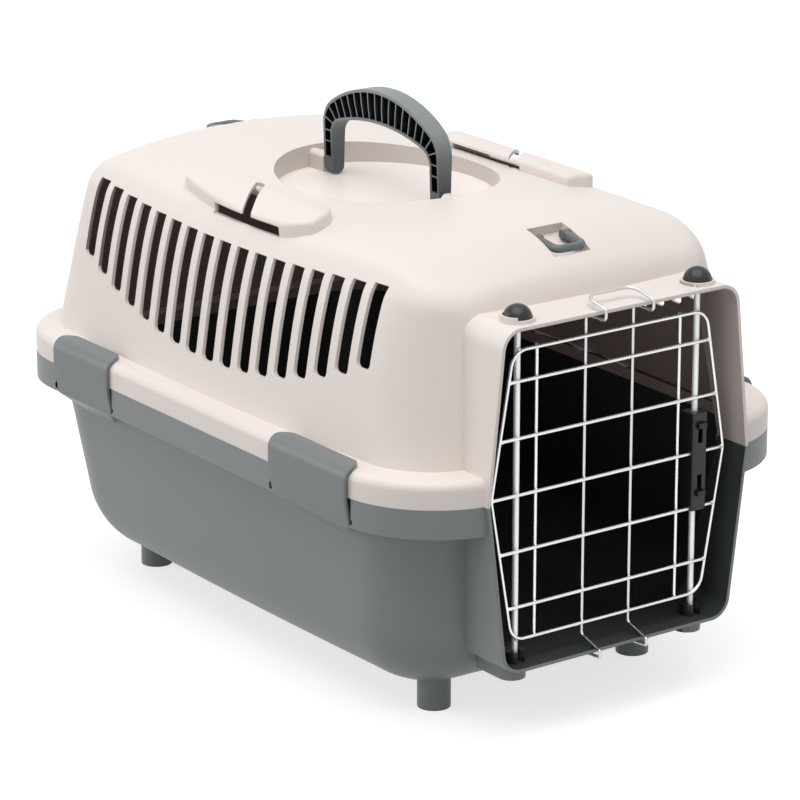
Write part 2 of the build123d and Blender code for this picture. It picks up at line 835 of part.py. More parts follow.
def make_door_bar(k):
    z = bar_middle_z + k * bar_pitch
    half = side_x(z) - bar_end_inset
    return Pos(0, grid_y, z) * Rot(0, 90, 0) * Cylinder(bar_radius, 2 * half)


def make_upright(side):
    return upright_rod(side * outer_upright_x, upright_y, upright_radius, frame_bottom_z - 1, frame_top_z + 1)


def make_hook_wire():
    # One wire: up from under the sill, over the doorway edge, across and down again.
    half = [
        (-hook_x, hook_under_end_y, hook_under_end_z),
        (-hook_x, hook_tip_y, hook_under_z),
        (-hook_x, hook_tip_y, hook_under_tip_z),
        (-hook_x, upright_y, hook_under_start_z),
        (-hook_x, upright_y, hook_low_z),
        (-hook_x, hook_tip_y, hook_low_z),
        (-hook_x, hook_tip_y, hook_high_z),
        (-hook_x, hook_end_y, hook_end_z),
    ]
    other = [(-x, y, z) for x, y, z in reversed(half)]
    bends = [1.7, 1.7, 3.5, hook_bend, hook_bend, hook_bend, hook_loop_radius]
    path = FilletPolyline(*half, *other, radius=bends + bends[::-1])
    return sweep(Plane(origin=path @ 0, z_dir=path % 0) * Circle(upright_radius), path=path)


# Latch

def slider_front_slot(low, high):
    return Pos(rod_x, latch_front_y, (low + high) / 2) * Box(neck_width + 2 * slider_clearance, 8, high - low)


def make_latch_housing():
    depth = latch_back_y - latch_front_y
    middle_y = (latch_back_y + latch_front_y) / 2
    height = latch_top_z - latch_bottom_z
    body = Box(2 * latch_half_width, depth, height)
    body = fillet(body.edges().filter_by(Axis.Z), 1.6)
    body = Pos(rod_x, middle_y, latch_bottom_z + height / 2) * body
    hollow_width = 2 * (latch_half_width - latch_wall)
    hollow_depth = depth - 2 * latch_wall
    ranges = [(latch_bottom_z + latch_floor, web_bottom_z), (web_top_z, latch_top_z - latch_wall)]
    for low, high in ranges:
        body = body - Pos(rod_x, middle_y, (low + high) / 2) * Box(hollow_width, hollow_depth, high - low)
    half_neck = neck_height / 2 + slider_clearance
    body = body - slider_front_slot(upper_slider_z - half_neck - latch_travel, upper_slider_z + half_neck)
    body = body - slider_front_slot(lower_slider_z - half_neck, lower_slider_z + half_neck + latch_travel)
    hole = rod_radius + rod_clearance
    body = body - upright_rod(rod_x, rod_y, hole, latch_top_z - 4, latch_top_z + 4)
    body = body - upright_rod(rod_x, rod_y, hole, latch_bottom_z - 4, latch_bottom_z + latch_floor + 1)
    for k in (0, -1):
        bar = Pos(rod_x, grid_y, bar_middle_z + k * bar_pitch) * Rot(0, 90, 0)
        body = body - bar * Cylinder(bar_radius + 0.02, 40)
    return body


def make_slider(z):
    depth = latch_back_y - latch_front_y - 2 * latch_wall - 2 * slider_clearance
    width = 2 * (latch_half_width - latch_wall - slider_clearance)
    middle_y = (latch_back_y + latch_front_y) / 2
    block = Pos(0, middle_y, 0) * Box(width, depth, slider_length)
    front = middle_y - depth / 2
    neck_length = front - latch_front_y + slider_clearance + 0.4
    neck = Pos(0, front + 0.4 - neck_length / 2, 0) * Box(neck_width, neck_length + 0.4, neck_height)
    head_back = latch_front_y - slider_clearance
    head = Box(head_width, head_depth, head_height)
    head = fillet(head.faces().sort_by(Axis.Y)[0].edges(), head_edge_radius)
    slider = block + neck + Pos(0, head_back - head_depth / 2, 0) * head
    slider = slider - Pos(0, rod_y, 0) * Cylinder(rod_radius, slider_length + 2)
    return Pos(rod_x, 0, z) * slider


def make_spring(low, high):
    height = high - low - spring_wire
    path = Helix(pitch=height / spring_turns, height=height, radius=spring_radius)
    section = Plane(origin=path @ 0, z_dir=path % 0) * Rectangle(spring_wire, spring_wire)
    coil = sweep(section, path=path, is_frenet=True)
    return Pos(rod_x, rod_y, low + spring_wire / 2) * coil


upper_slider_low = upper_slider_z - slider_length / 2
lower_slider_high = lower_slider_z + slider_length / 2

makers = {
    "base_tub": make_base_tub,
    "top_cover": make_top_cover,
    "clip_front_left": lambda: make_clip(-1, clip_front_y, clip_front_length),
    "clip_front_right": lambda: make_clip(1, clip_front_y, clip_front_length),
    "clip_rear_left": lambda: make_clip(-1, clip_rear_y, clip_rear_length),
    "clip_rear_right": lambda: make_clip(1, clip_rear_y, clip_rear_length),
    "handle": make_handle,
    "bail_front": lambda: make_bail(-1),
    "bail_rear": lambda: make_bail(1),
    "hinge_cap": lambda: make_cap(-1),
    "latch_cap": lambda: make_cap(1),
    "hinge_cup": lambda: make_cup(-1),
    "latch_cup": lambda: make_cup(1),
    "door_frame": make_door_frame,
    "door_bar_1": lambda: make_door_bar(2),
    "door_bar_2": lambda: make_door_bar(1),
    "door_bar_3": lambda: make_door_bar(0),
    "door_bar_4": lambda: make_door_bar(-1),
    "door_bar_5": lambda: make_door_bar(-2),
    "door_upright_left": lambda: make_upright(-1),
    "door_upright_right": lambda: make_upright(1),
    "hook_wire": make_hook_wire,
    "hinge_rod": lambda: upright_rod(-rod_x, rod_y, rod_radius, hinge_rod_bottom_z, hinge_rod_top_z),
    "latch_housing": make_latch_housing,
    "latch_rod_upper": lambda: upright_rod(rod_x, rod_y, rod_radius, upper_slider_low, upper_rod_top_z),
    "latch_rod_lower": lambda: upright_rod(rod_x, rod_y, rod_radius, lower_rod_bottom_z, lower_slider_high),
    "slider_upper": lambda: make_slider(upper_slider_z),
    "slider_lower": lambda: make_slider(lower_slider_z),
    "spring_upper": lambda: make_spring(web_top_z, upper_slider_low),
    "spring_lower": lambda: make_spring(lower_slider_high, web_bottom_z),
}

os.makedirs("parts", exist_ok=True)
for node, maker in makers.items():
    shape = maker()
    solids = shape.solids()
    print(node, "solids:", len(solids), "volume:", round(shape.volume, 1), "valid:", shape.is_valid)
    export_step(shape, "parts/" + node + ".step")
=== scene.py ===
import json
import math
import bpy
import bmesh
import numpy as np
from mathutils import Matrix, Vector


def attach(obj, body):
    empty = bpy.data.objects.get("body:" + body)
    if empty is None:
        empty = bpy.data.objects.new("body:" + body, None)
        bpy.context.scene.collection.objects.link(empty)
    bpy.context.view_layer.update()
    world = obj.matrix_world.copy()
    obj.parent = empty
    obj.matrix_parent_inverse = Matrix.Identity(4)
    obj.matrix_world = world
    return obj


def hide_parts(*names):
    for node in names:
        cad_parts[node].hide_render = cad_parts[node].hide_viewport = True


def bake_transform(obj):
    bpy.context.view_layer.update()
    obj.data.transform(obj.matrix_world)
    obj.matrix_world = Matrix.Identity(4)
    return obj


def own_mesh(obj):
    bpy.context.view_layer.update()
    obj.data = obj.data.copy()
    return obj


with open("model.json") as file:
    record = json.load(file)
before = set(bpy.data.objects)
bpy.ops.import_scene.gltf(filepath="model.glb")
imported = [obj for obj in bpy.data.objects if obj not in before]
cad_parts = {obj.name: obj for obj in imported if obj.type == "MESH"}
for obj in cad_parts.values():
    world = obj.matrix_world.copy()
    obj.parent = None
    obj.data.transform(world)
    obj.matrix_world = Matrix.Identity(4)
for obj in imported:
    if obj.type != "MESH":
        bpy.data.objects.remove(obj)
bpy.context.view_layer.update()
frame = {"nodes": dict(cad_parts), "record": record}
nodes = frame["nodes"]
print("frame loaded:", len(nodes), "nodes")

view = {
    "azimuth": -35.9,       # degrees, 0 looks along +Y
    "elevation": 17.7,
    "distance": 2.588,
    "target": (-0.00065, -0.005, 0.1499),
    "lens": 175.5,
    "sensor": 36,
    "farthest": 50,
}


def makeCamera():
    data = bpy.data.cameras.new("camera")
    data.lens = view["lens"]
    data.sensor_width = view["sensor"]
    data.clip_end = view["farthest"]
    camera = bpy.data.objects.new("camera", data)
    az, el = math.radians(view["azimuth"]), math.radians(view["elevation"])
    outward = Vector((math.sin(az) * math.cos(el), -math.cos(az) * math.cos(el), math.sin(el)))
    camera.location = Vector(view["target"]) + outward * view["distance"]
    camera.rotation_euler = outward.to_track_quat("Z", "Y").to_euler()
    bpy.context.scene.collection.objects.link(camera)
    bpy.context.scene.camera = camera


makeCamera()


def newMaterial(name):
    material = bpy.data.materials.new(name)
    material.use_nodes = True
    tree = material.node_tree
    shader = next(n for n in tree.nodes if n.type == "BSDF_PRINCIPLED")
    return material, tree, shader


def addNode(tree, kind, **settings):
    node = tree.nodes.new(kind)
    for key, value in settings.items():
        if key in node.inputs:
            node.inputs[key].default_value = value
        else:
            setattr(node, key, value)
    return node


def mapRange(tree, value, source, target, smooth=False):
    kind = "SMOOTHSTEP" if smooth else "LINEAR"
    node = addNode(tree, "ShaderNodeMapRange", interpolation_type=kind)
    for key, limit in zip(("From Min", "From Max", "To Min", "To Max"), (*source, *target)):
        node.inputs[key].default_value = limit
    tree.links.new(value, node.inputs["Value"])
    return node.outputs["Result"]


def mixColors(tree, factor, first, second):
    # Each of the two is a colour or the output of another node.
    node = addNode(tree, "ShaderNodeMix", data_type="RGBA")
    tree.links.new(factor, node.inputs["Factor"])
    for key, color in (("A", first), ("B", second)):
        if isinstance(color, tuple):
            node.inputs[key].default_value = (*color, 1)
        else:
            tree.links.new(color, node.inputs[key])
    return node.outputs["Result"]


def axisOf(tree, place, axis):
    split = addNode(tree, "ShaderNodeSeparateXYZ")
    tree.links.new(place, split.inputs["Vector"])
    return split.outputs[axis]


plasticLook = {
    "grain": 0.0004,            # metres across one grain of the spark-eroded mould face
    "grainDepth": 0.00002,
    "softEdge": 0.0006,         # edge rounding that the light sees
    "blotch": 7.0,              # slow clouding of the colour, in cycles a metre
    "grainBump": 0.3,
    "grainRange": (0.3, 0.7),   # span of the grain noise that the roughness follows
    "glossier": 0.05,           # how far the roughness drifts down
    "duller": 0.06,             # and up
    "refraction": 1.47,
    # Painted shade: doorway sets where the cabin's inside darkens from the doorway in.
    "doorway": (-0.245, -0.19),     # y over which the inside darkens behind the doorway
    # Painted shade: the next four set how the handle darkens in its narrow channels and down its
    # legs.
    "cavity": 0.012,                # widest cavity that darkens
    "cavityLight": (0.5, 0.8),      # share of open surroundings from dark to full colour
    "handleLegs": (0.296, 0.35),    # z over which the handle darkens down its legs
    "handleFoot": 0.36,             # share of the colour left at the foot
}

wireLook = {
    "drawLines": 420.0,         # marks left by drawing the wire, in cycles a metre
    "lineDepth": 0.00002,
    "lineBump": 0.15,
    "glossier": 0.05,
    "duller": 0.08,
}

# Moulded plastics: colour, its darker cloud and roughness.
shades = {
    "tubPlastic": ((0.222, 0.243, 0.243), (0.208, 0.229, 0.229), 0.44),
    "coverPlastic": ((0.83, 0.762, 0.722), (0.81, 0.742, 0.7), 0.42),
    "handlePlastic": ((0.24, 0.265, 0.265), (0.225, 0.249, 0.249), 0.42),
    "bailPlastic": ((0.15, 0.17, 0.17), (0.13, 0.15, 0.15), 0.42),
    "blackPlastic": ((0.015, 0.015, 0.016), (0.011, 0.011, 0.012), 0.34),
    "clipPlastic": ((0.186, 0.205, 0.206), (0.175, 0.193, 0.194), 0.4),
    "sliderPlastic": ((0.006, 0.006, 0.007), (0.004, 0.004, 0.005), 0.4),
    # Painted shade: darker copies of the tub and cover plastic for the faces inside the cabin.
    "tubInsidePaintedShade": ((0.034, 0.042, 0.044), (0.03, 0.037, 0.039), 0.55),
    "coverInsidePaintedShade": ((0.62, 0.56, 0.53), (0.58, 0.52, 0.49), 0.55),
    # Painted shade on the ledge inside the cabin.
    "coverLedgePaintedShade": ((0.09, 0.07, 0.064), (0.08, 0.062, 0.057), 0.6),
    # Painted shade on the wall of the handle's recess.
    "recessWallPaintedShade": ((0.66, 0.604, 0.573), (0.645, 0.589, 0.557), 0.42),
    # Painted light on the floor of the handle's recess.
    "recessFloorPaintedLight": ((0.95, 0.875, 0.83), (0.94, 0.862, 0.815), 0.42),
}

# Wires: colour, roughness and how much of the surface is bare metal.
platings = {
    "chromeWire": ((0.8, 0.806, 0.812), 0.27, 1.0),
    "springSteel": ((0.5, 0.5, 0.5), 0.35, 1.0),
    # Painted shade: a darker copy of the chrome for the hook, standing in for the dimmer reflection
    # on its loop.
    "hookPlatingPaintedShade": ((0.62, 0.625, 0.63), 0.22, 1.0),
    # Painted light: a whiter, less metallic copy for the rods, standing in for their broad bright
    # bands.
    "rodPlatingPaintedLight": ((0.96, 0.965, 0.97), 0.5, 0.6),
}


def mouldedPlastic(name, deepShade=None, hollowShade=None):
    # Injection-moulded plastic: fine grain, faint flow clouding, roughness that drifts a little.
    # With a deep colour, painted shade darkens the plastic from the doorway into the cabin,
    # and with a hollow colour, painted shade darkens it in its own narrow cavities and toward the
    # handle's feet.
    look = plasticLook
    color, darker, rough = shades[name]
    material, tree, shader = newMaterial(name)
    link = tree.links.new
    place = addNode(tree, "ShaderNodeTexCoord").outputs["Object"]
    clouds = addNode(tree, "ShaderNodeTexNoise", Scale=look["blotch"], Detail=3.0, Roughness=0.55)
    link(place, clouds.inputs["Vector"])
    colorOut = mixColors(tree, clouds.outputs["Fac"], color, darker)
    # Painted shade from the doorway into the cabin.
    if deepShade is not None:
        depth = mapRange(tree, axisOf(tree, place, "Y"), look["doorway"], (0, 1), smooth=True)
        colorOut = mixColors(tree, depth, colorOut, deepShade)
    if hollowShade is not None:
        # Painted shade in the piece's own narrow cavities.
        cavity = addNode(tree, "ShaderNodeAmbientOcclusion", samples=8, only_local=True)
        cavity.inputs["Distance"].default_value = look["cavity"]
        light = mapRange(tree, cavity.outputs["AO"], look["cavityLight"], (0, 1), smooth=True)
        colorOut = mixColors(tree, light, hollowShade, colorOut)
        # Painted shade down the handle's legs, darkest at the feet.
        shade = mapRange(tree, axisOf(tree, place, "Z"), look["handleLegs"],
                         (look["handleFoot"], 1.0), smooth=True)
        dim = addNode(tree, "ShaderNodeVectorMath", operation="SCALE")
        link(colorOut, dim.inputs["Vector"])
        link(shade, dim.inputs["Scale"])
        colorOut = dim.outputs["Vector"]
    link(colorOut, shader.inputs["Base Color"])
    grain = addNode(tree, "ShaderNodeTexNoise", Scale=1 / look["grain"], Detail=2.0, Roughness=0.6)
    link(place, grain.inputs["Vector"])
    drift = (rough - look["glossier"], rough + look["duller"])
    roughness = mapRange(tree, grain.outputs["Fac"], look["grainRange"], drift)
    link(roughness, shader.inputs["Roughness"])
    soft = addNode(tree, "ShaderNodeBevel", samples=6, Radius=look["softEdge"])
    bump = addNode(tree, "ShaderNodeBump", Strength=look["grainBump"], Distance=look["grainDepth"])
    link(grain.outputs["Fac"], bump.inputs["Height"])
    link(soft.outputs["Normal"], bump.inputs["Normal"])
    link(bump.outputs["Normal"], shader.inputs["Normal"])
    shader.inputs["IOR"].default_value = look["refraction"]
    return material


def platedWire(name):
    # Bright zinc or nickel plating over drawn wire: faint draw lines and a roughness that drifts.
    look = wireLook
    color, rough, metal = platings[name]
    material, tree, shader = newMaterial(name)
    link = tree.links.new
    place = addNode(tree, "ShaderNodeTexCoord").outputs["Object"]
    drawn = addNode(tree, "ShaderNodeTexNoise", Scale=look["drawLines"], Detail=3.0, Roughness=0.6)
    link(place, drawn.inputs["Vector"])
    drift = (rough - look["glossier"], rough + look["duller"])
    link(mapRange(tree, drawn.outputs["Fac"], (0, 1), drift), shader.inputs["Roughness"])
    bump = addNode(tree, "ShaderNodeBump", Strength=look["lineBump"], Distance=look["lineDepth"])
    link(drawn.outputs["Fac"], bump.inputs["Height"])
    link(bump.outputs["Normal"], shader.inputs["Normal"])
    shader.inputs["Base Color"].default_value = (*color, 1)
    shader.inputs["Metallic"].default_value = metal
    return material


materials = {
    "tub_plastic": mouldedPlastic("tubPlastic"),
    "cover_plastic": mouldedPlastic("coverPlastic"),
    # The handle gets painted shade in its channels and down its legs.
    "handle_plastic": mouldedPlastic("handlePlastic", hollowShade=(0.008, 0.01, 0.012)),
    "bail_plastic": mouldedPlastic("bailPlastic"),
    "black_plastic": mouldedPlastic("blackPlastic"),
    "chrome_wire": platedWire("chromeWire"),
    "spring_steel": platedWire("springSteel"),
}
# A darker copy of the chrome for the hook: painted shade for the dimmer reflection on its loop.
hookPlatingPaintedShade = platedWire("hookPlatingPaintedShade")
# A whiter, less metallic copy for the rods: painted light for their broad bright bands.
rodPlatingPaintedLight = platedWire("rodPlatingPaintedLight")
clipPlastic = mouldedPlastic("clipPlastic")
sliderPlastic = mouldedPlastic("sliderPlastic")
# Painted shade: darker copies of the plastics for the faces inside the cabin, darkening further from
# the doorway in.
tubInsidePaintedShade = mouldedPlastic("tubInsidePaintedShade", deepShade=(0.006, 0.007, 0.007))
coverInsidePaintedShade = mouldedPlastic("coverInsidePaintedShade", deepShade=(0.32, 0.25, 0.228))
# Painted shade on the ledge.
coverLedgePaintedShade = mouldedPlastic("coverLedgePaintedShade")
# Painted shade on the recess wall, painted light on the recess floor.
recessWallPaintedShade = mouldedPlastic("recessWallPaintedShade")
recessFloorPaintedLight = mouldedPlastic("recessFloorPaintedLight")
# What faceKinds picks from: painted shade for the cabin and the ledge, and for the cover painted
# shade on the recess's wall and painted light on its floor.
innerLooks = {
    "base_tub": [tubInsidePaintedShade, tubInsidePaintedShade],
    "top_cover": [coverInsidePaintedShade, coverLedgePaintedShade, recessWallPaintedShade, recessFloorPaintedLight],
}
record = frame["record"]
slotOf = {part["node"]: part["material_slot"] for part in record["subparts"]}
bodyOf = {n: body for body, members in record["behaviour"]["bodies"].items() for n in members}
for name, node in nodes.items():
    node.data.materials.clear()
    node.data.materials.append(materials[slotOf[name]])
print("materials made")

# Places on the two mouldings in metres, used to tell their faces apart.
inner = {
    "lineY": 0.15, "lineZ": 0.15,           # the cabin's middle line and its height
    "turned": 0.004,                        # least turn of a face toward that line
    "recessX": 0.0695, "recessY": 0.0835,   # half sizes of the handle's recess
    "recessMiddleY": 0.011, "recessZ": 0.2885, "recessDepth": 0.004,
    "pocketX": 0.0143, "pocketY": 0.017, "pocketZ": 0.283, "pocketMiddles": (-0.172, 0.197),
    "roofZ": 0.3035, "roofSkin": 0.003, "undersideZ": 0.0175, "footZ": 0.035,
    "ledgeX": 0.1435, "ledgeY": 0.165, "ledgeZ": (0.15, 0.183),
    "upright": 0.3, "level": 0.7, "sloping": 0.25,      # limits on the normal's height
}


def faceKinds(mesh):
    # 1 where a face looks into the cabin, which gets painted shade: it turns toward the cabin's
    # middle line and doesn't lie in the handle's recess, a bail pocket, a foot or above the roof.
    # 2 on the ledge along the parting inside the cabin, which gets painted shade for the shade of
    # the rim.
    # 3 on the wall of the handle's recess, which gets painted shade, and 4 on its floor, which gets
    # painted light. 0 is any other face.
    count = len(mesh.polygons)
    centre = np.empty(count * 3)
    normal = np.empty(count * 3)
    mesh.polygons.foreach_get("center", centre)
    mesh.polygons.foreach_get("normal", normal)
    x, y, z = centre.reshape(-1, 3).T
    n = normal.reshape(-1, 3)
    toLineY = np.clip(y, -inner["lineY"], inner["lineY"]) - y
    toward = np.stack([-x, toLineY, inner["lineZ"] - z], axis=1)
    inside = np.sum(toward * n, axis=1) > inner["turned"]
    acrossRecess, alongRecess = x / inner["recessX"], (y - inner["recessMiddleY"]) / inner["recessY"]
    recess = (acrossRecess ** 2 + alongRecess ** 2 < 1) & (z > inner["recessZ"])
    inside &= ~recess
    pocket = (np.abs(x) < inner["pocketX"]) & (z > inner["pocketZ"])
    for middle in inner["pocketMiddles"]:
        inside &= ~(pocket & (np.abs(y - middle) < inner["pocketY"]))
    roof = inner["roofZ"] - x ** 2
    upright = np.abs(n[:, 2]) < inner["upright"]
    inside &= ~((z > roof - inner["roofSkin"]) | (z < inner["undersideZ"]))
    inside &= ~((z < inner["footZ"]) & upright)
    ledge = (np.abs(x) < inner["ledgeX"]) & (np.abs(y) < inner["ledgeY"])
    ledge &= (n[:, 2] > inner["sloping"]) & (z > inner["ledgeZ"][0]) & (z < inner["ledgeZ"][1])
    kind = np.where(ledge, 2, inside).astype(np.int32)
    kind[recess & upright] = 3
    kind[recess & (n[:, 2] > inner["level"]) & (z < roof - inner["recessDepth"])] = 4
    return kind


coverBow = {
    "low": 0.182, "high": 0.285,        # heights between which the side walls bow
    "out": 0.0046, "back": 0.0068,      # metres outward, and back in toward the shoulder
    "rows": 0.005,                      # distance between level cuts
    "merge": 1e-6,
    "sideX": 0.1, "sideFade": 0.018,
    "endY": 0.215, "middleY": 0.01, "endFade": 0.06,
    "roofZ": 0.282, "roofFade": 0.012, "roofShare": 0.7,
}


def cutIntoRows(work):
    # Level cuts across the cover's walls, so that a long slot edge can follow a curve.
    levels = np.arange(coverBow["low"], coverBow["high"], coverBow["rows"])
    for level in levels:
        geometry = work.verts[:] + work.edges[:] + work.faces[:]
        bmesh.ops.bisect_plane(work, geom=geometry, dist=coverBow["merge"],
                               plane_co=(0, 0, level), plane_no=(0, 0, 1))


def bowSideWalls(mesh):
    # The cover's side walls stand a little proud above the rim and curl in toward the shoulder:
    # out * v - back * v^4 with v the share of the height.
    # The bow fades out before the corners and the roof.
    bow = coverBow
    co = np.empty(len(mesh.vertices) * 3)
    mesh.vertices.foreach_get("co", co)
    co = co.reshape(-1, 3)
    up = np.clip((co[:, 2] - bow["low"]) / (bow["high"] - bow["low"]), 0, 1)
    side = np.clip((np.abs(co[:, 0]) - bow["sideX"]) / bow["sideFade"], 0, 1)
    ends = np.clip((bow["endY"] - np.abs(co[:, 1] - bow["middleY"])) / bow["endFade"], 0, 1)
    roof = 1 - bow["roofShare"] * np.clip((co[:, 2] - bow["roofZ"]) / bow["roofFade"], 0, 1)
    fade = side * side * (3 - 2 * side) * ends * ends * (3 - 2 * ends) * roof
    co[:, 0] += np.sign(co[:, 0]) * (bow["out"] * up - bow["back"] * up ** 4) * fade
    mesh.vertices.foreach_set("co", co.ravel())


skinLook = {"crease": 32.0, "merge": 0.00002}       # degrees and metres


def mouldedSkin(name):
    # A copy of the node with its triangles joined, smooth over its curves and crisp on its edges.
    mesh = bpy.data.meshes.new(name + "Skin")
    work = bmesh.new()
    work.from_mesh(nodes[name].data)
    bmesh.ops.remove_doubles(work, verts=work.verts, dist=skinLook["merge"])
    bmesh.ops.dissolve_degenerate(work, edges=work.edges, dist=skinLook["merge"])
    if name == "top_cover":
        cutIntoRows(work)
    limit = math.radians(skinLook["crease"])
    for face in work.faces:
        face.smooth = True
    for e in work.edges:
        e.smooth = len(e.link_faces) == 2 and e.calc_face_angle(0.0) < limit
    work.to_mesh(mesh)
    work.free()
    if name == "top_cover":
        bowSideWalls(mesh)
        mesh.update()
    skin = bpy.data.objects.new(name + "Skin", mesh)
    bpy.context.scene.collection.objects.link(skin)
    mesh.materials.clear()
    mesh.materials.append(sliderPlastic if name.startswith("slider") else materials[slotOf[name]])
    # Inner, ledge and recess faces take the painted shade and painted light copies.
    if name in innerLooks:
        for material in innerLooks[name]:
            mesh.materials.append(material)
        mesh.polygons.foreach_set("material_index", faceKinds(mesh))
    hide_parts(name)
    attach(skin, bodyOf[name])


skinned = [
    "base_tub", "top_cover", "handle", "bail_front", "bail_rear", "hinge_cap", "latch_cap",
    "hinge_cup", "latch_cup", "latch_housing", "slider_upper", "slider_lower",
]
for name in skinned:
    mouldedSkin(name)
print("moulded skins made")

millimetre = 0.001


def gridFaces(rows, cols, closedRows):
    # Four-sided faces between neighbouring rings; closed rows join the last ring to the first.
    index = np.arange(rows * cols).reshape(rows, cols)
    if closedRows:
        index = np.concatenate([index, index[:1]], axis=0)
    index = np.concatenate([index, index[:, :1]], axis=1)
    a, b = index[:-1, :-1], index[:-1, 1:]
    c, d = index[1:, 1:], index[1:, :-1]
    return np.stack([a, b, c, d], axis=-1).reshape(-1, 4)


def surfacePiece(name, rings, slotName, closedRows=False):
    # Rings of points in millimetres become one closed mesh; open ends get a fan to their middle.
    grids = rings if isinstance(rings, list) else [rings]
    vertices, quads, fans = [], [], []
    start = 0
    for grid in grids:
        rows, cols = grid.shape[:2]
        points = grid.reshape(-1, 3)
        faces = gridFaces(rows, cols, closedRows)
        ring = np.arange(cols)
        turn = np.roll(ring, -1)
        fan = np.zeros((0, 3), dtype=int)
        if not closedRows:
            points = np.concatenate([points, grid[:1].mean(axis=1), grid[-1:].mean(axis=1)])
            last = (rows - 1) * cols
            low = np.stack([turn, ring, np.full(cols, rows * cols)], axis=1)
            high = np.stack([last + ring, last + turn, np.full(cols, rows * cols + 1)], axis=1)
            fan = np.concatenate([low, high])
        corner = points[faces]
        volume = np.sum(np.cross(corner[:, 0], corner[:, 1]) * corner[:, 2])
        volume += np.sum(np.cross(corner[:, 0], corner[:, 2]) * corner[:, 3])
        if volume < 0:
            faces, fan = faces[:, ::-1], fan[:, ::-1]
        vertices.append(points)
        quads.append(faces + start)
        fans.append(fan + start)
        start += len(points)
    vertices = np.concatenate(vertices) * millimetre
    quads, fans = np.concatenate(quads), np.concatenate(fans)
    loops = np.concatenate([quads.ravel(), fans.ravel()])
    starts = np.concatenate([np.arange(len(quads)) * 4, quads.size + np.arange(len(fans)) * 3])
    mesh = bpy.data.meshes.new(name)
    mesh.vertices.add(len(vertices))
    mesh.vertices.foreach_set("co", vertices.ravel())
    mesh.loops.add(len(loops))
    mesh.loops.foreach_set("vertex_index", loops.astype(np.int32))
    mesh.polygons.add(len(starts))
    mesh.polygons.foreach_set("loop_start", starts.astype(np.int32))
    mesh.polygons.foreach_set("use_smooth", np.ones(len(starts), dtype=bool))
    mesh.update(calc_edges=True)
    mesh.materials.append(materials[slotName])
    piece = bpy.data.objects.new(name, mesh)
    bpy.context.scene.collection.objects.link(piece)
    return piece


# How every wire is laid out. Steps are in millimetres, the dome's reach is a share of the radius.
wire = {
    "sides": 16, "step": 0.8, "straightStep": 4,
    "bendPoints": 17,               # points along each round bend
    "aside": (0.58, 0.35, 0.73),    # a direction that no wire runs along
    "domeRings": 5, "domeStart": 0.15, "domeReach": 0.6,
}


def bentPath(corners, bends, closed=False, step=wire["step"]):
    # Straight runs joined by round bends, then divided evenly by length.
    corners = np.array(corners, dtype=float)
    count = len(corners)
    points = []
    for k in range(count):
        if not closed and k in (0, count - 1):
            points.append(corners[k:k + 1])
            continue
        before = corners[k] - corners[k - 1]
        after = corners[(k + 1) % count] - corners[k]
        before /= np.linalg.norm(before)
        after /= np.linalg.norm(after)
        half = 0.5 * math.acos(float(np.clip(before @ after, -1, 1)))
        toCentre = after - before
        toCentre /= np.linalg.norm(toCentre)
        centre = corners[k] + toCentre * bends[k] / math.cos(half)
        along = (before + after) / np.linalg.norm(before + after)
        t = np.linspace(-half, half, wire["bendPoints"])[:, None]
        points.append(centre + bends[k] * (np.sin(t) * along - np.cos(t) * toCentre))
    points = np.concatenate(points)
    if closed:
        points = np.concatenate([points, points[:1]])
    length = np.concatenate([[0], np.cumsum(np.linalg.norm(np.diff(points, axis=0), axis=1))])
    marks = np.linspace(0, length[-1], int(length[-1] / step) + 1)
    if closed:
        marks = marks[:-1]
    return np.stack([np.interp(marks, length, points[:, i]) for i in range(3)], axis=1)


def straightPath(first, last):
    return bentPath([first, last], [], step=wire["straightStep"])


def wireRings(path, radius, closed=False, sides=wire["sides"]):
    # A round wire: each ring lies square to the path, and the ends close in a small dome.
    if closed:
        tangent = np.roll(path, -1, axis=0) - np.roll(path, 1, axis=0)
    else:
        tangent = np.gradient(path, axis=0)
    tangent /= np.linalg.norm(tangent, axis=1, keepdims=True)
    size = np.full(len(path), radius)
    if not closed:
        count = wire["domeRings"]
        t = np.linspace(wire["domeStart"], 1, count) * math.pi / 2
        reach = wire["domeReach"] * radius
        head = path[0] - np.sin(math.pi / 2 - t)[:, None] * tangent[0] * reach
        tail = path[-1] + np.cos(t[::-1])[:, None] * tangent[-1] * reach
        path = np.concatenate([head, path[1:-1], tail])
        ends = np.sin(t) * radius
        size = np.concatenate([ends, size[1:-1], ends[::-1]])
        first, last = np.repeat(tangent[:1], count, 0), np.repeat(tangent[-1:], count, 0)
        tangent = np.concatenate([first, tangent[1:-1], last])
    side = np.cross(tangent, np.array(wire["aside"]))
    side /= np.linalg.norm(side, axis=1, keepdims=True)
    up = np.cross(tangent, side)
    angle = np.linspace(0, 2 * math.pi, sides, endpoint=False)[None, :, None]
    ring = np.cos(angle) * side[:, None] + np.sin(angle) * up[:, None]
    return path[:, None] + ring * size[:, None, None]


# The door's wires, rods, welds and springs, in millimetres.
door = {
    "gridY": -225.1, "frameRadius": 1.1, "corner": 12.0,
    "middleZ": 159.0, "lowZ": 64.6, "highZ": 251.4, "halfWidth": 91.9, "lean": 0.1747,
    "crossWires": 5, "pitch": 36.4, "endInset": 1.36,
    "uprightX": 56.2, "uprightY": -222.85, "uprightRadius": 1.15, "uprightPast": 1,
}

hook = {
    "x": 18.6, "step": 0.6,
    "endY": -228.0, "endZ": 45.2,                       # under the sill
    "tipY": -242.2, "tipLowZ": 46.3, "tipHighZ": 50.2, "riseZ": 56.0,
    "overY": -222.0, "shoulderZ": 264.6, "crestZ": 272.0, "overZ": 276.0,    # over the top edge
    "bends": [1.7, 1.7, 1.7, 3.5, 3.2, 3.2, 3.2, 8.0],
}

